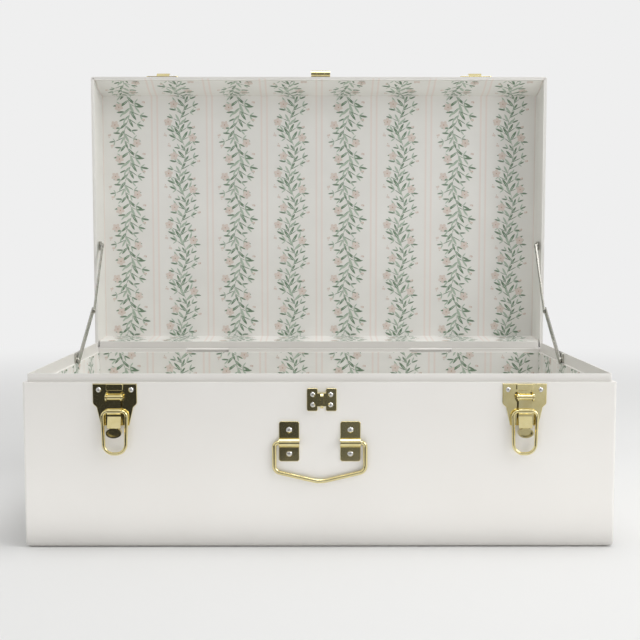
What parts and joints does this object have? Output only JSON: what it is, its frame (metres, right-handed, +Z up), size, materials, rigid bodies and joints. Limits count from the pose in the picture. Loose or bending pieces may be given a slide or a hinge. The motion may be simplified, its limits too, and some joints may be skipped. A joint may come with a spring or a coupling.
{
  "type": "storage trunk",
  "caption": "Sheet-metal storage trunk with a hinged, stay-supported lid, draw latches, padlock hasp, carrying handle and printed board linings.",
  "frame": {"origin": "centre of the underside, on the floor", "axes": "+X to the right seen from the front, +Y towards the hinges, +Z up; the front with the latches faces -Y and the lid stands open"},
  "size_m": [0.6, 0.4333, 0.5365],
  "materials": {
    "painted_steel": "satin white enamel",
    "printed_card": "matt printed paper on board",
    "plain_card": "matt white paper on board",
    "polished_brass": "polished pale gold plating",
    "nickel_rivet": "polished nickel",
    "stay_steel": "bright zinc plating"
  },
  "bodies": {
    "body": {"body_shell": "painted_steel", "lip_frame": "painted_steel", "body_floor_lining": "printed_card", "body_front_lining": "printed_card", "body_rear_lining": "printed_card", "body_left_lining": "printed_card", "body_right_lining": "printed_card", "hinge_body_leaf_left": "painted_steel", "hinge_pin_left": "painted_steel", "latch_plate_left": "polished_brass", "latch_pin_left": "polished_brass", "handle_strap_left": "polished_brass", "stay_body_bracket_left": "stay_steel", "hinge_body_leaf_right": "painted_steel", "hinge_pin_right": "painted_steel", "latch_plate_right": "polished_brass", "latch_pin_right": "polished_brass", "handle_strap_right": "polished_brass", "stay_body_bracket_right": "stay_steel", "hinge_body_rivets": "painted_steel", "latch_rivets": "nickel_rivet", "handle_rivets": "nickel_rivet", "staple_plate": "polished_brass", "staple_rivets": "nickel_rivet", "stay_body_pins": "stay_steel"},
    "lid": {"lid_shell": "painted_steel", "lid_top_lining": "printed_card", "lid_front_lining": "printed_card", "lid_rear_lining": "printed_card", "lid_left_lining": "plain_card", "lid_right_lining": "plain_card", "hinge_lid_leaf_left": "painted_steel", "catch_left": "polished_brass", "stay_lid_bracket_left": "stay_steel", "hinge_lid_leaf_right": "painted_steel", "catch_right": "polished_brass", "stay_lid_bracket_right": "stay_steel", "hinge_lid_rivets": "painted_steel", "catch_rivets": "nickel_rivet", "hasp_leaf": "polished_brass", "hasp_pin": "polished_brass", "hasp_rivets": "nickel_rivet", "stay_lid_pins": "stay_steel"},
    "latch_lever_left": {"latch_lever_left": "polished_brass"},
    "latch_loop_left": {"latch_loop_left": "polished_brass"},
    "stay_lower_arm_left": {"stay_lower_arm_left": "stay_steel"},
    "stay_upper_arm_left": {"stay_upper_arm_left": "stay_steel"},
    "latch_lever_right": {"latch_lever_right": "polished_brass"},
    "latch_loop_right": {"latch_loop_right": "polished_brass"},
    "stay_lower_arm_right": {"stay_lower_arm_right": "stay_steel"},
    "stay_upper_arm_right": {"stay_upper_arm_right": "stay_steel"},
    "handle": {"handle_bail": "polished_brass"},
    "hasp_strap": {"hasp_strap": "polished_brass"}
  },
  "joints": [
    {"name": "lid_hinge", "type": "hinge", "parent": "body", "child": "lid", "pos_m": [0, 0.1806, 0.1677], "axis": [1, 0, 0], "range_deg": [0, 90]},
    {"name": "latch_lever_pivot_left", "type": "hinge", "parent": "body", "child": "latch_lever_left", "pos_m": [-0.2065, -0.1855, 0.1551], "axis": [-1, 0, 0], "range_deg": [0, 100]},
    {"name": "latch_loop_pivot_left", "type": "hinge", "parent": "latch_lever_left", "child": "latch_loop_left", "pos_m": [-0.2065, -0.1849, 0.1407], "axis": [1, 0, 0], "range_deg": [-170, 0]},
    {"name": "latch_lever_pivot_right", "type": "hinge", "parent": "body", "child": "latch_lever_right", "pos_m": [0.2065, -0.1855, 0.1551], "axis": [-1, 0, 0], "range_deg": [0, 100]},
    {"name": "latch_loop_pivot_right", "type": "hinge", "parent": "latch_lever_right", "child": "latch_loop_right", "pos_m": [0.2065, -0.1849, 0.1407], "axis": [1, 0, 0], "range_deg": [-170, 0]},
    {"name": "handle_swing", "type": "hinge", "parent": "body", "child": "handle", "pos_m": [0, -0.1817, 0.1083], "axis": [-1, 0, 0], "range_deg": [0, 150]},
    {"name": "hasp_pivot", "type": "hinge", "parent": "lid", "child": "hasp_strap", "pos_m": [0.002, 0.1884, 0.5323], "axis": [1, 0, 0], "range_deg": [0, 180]},
    {"name": "stay_lower_pivot_left", "type": "hinge", "parent": "body", "child": "stay_lower_arm_left", "pos_m": [-0.2914, 0.0422, 0.1677], "axis": [1, 0, 0], "range_deg": [-29.8, 0]},
    {"name": "stay_upper_pivot_left", "type": "hinge", "parent": "lid", "child": "stay_upper_arm_left", "pos_m": [-0.2897, 0.1906, 0.3061], "axis": [1, 0, 0], "range_deg": [0, 33.8]},
    {"name": "stay_lower_pivot_right", "type": "hinge", "parent": "body", "child": "stay_lower_arm_right", "pos_m": [0.2914, 0.0422, 0.1677], "axis": [1, 0, 0], "range_deg": [-29.8, 0]},
    {"name": "stay_upper_pivot_right", "type": "hinge", "parent": "lid", "child": "stay_upper_arm_right", "pos_m": [0.2897, 0.1906, 0.3061], "axis": [1, 0, 0], "range_deg": [0, 33.8]}
  ],
  "couplings": [
    {"joint": "stay_lower_pivot_left", "follows": "lid_hinge", "ratio": -0.32991},
    {"joint": "stay_upper_pivot_left", "follows": "lid_hinge", "ratio": 0.37429},
    {"joint": "stay_lower_pivot_right", "follows": "lid_hinge", "ratio": -0.32991},
    {"joint": "stay_upper_pivot_right", "follows": "lid_hinge", "ratio": 0.37429}
  ]
}
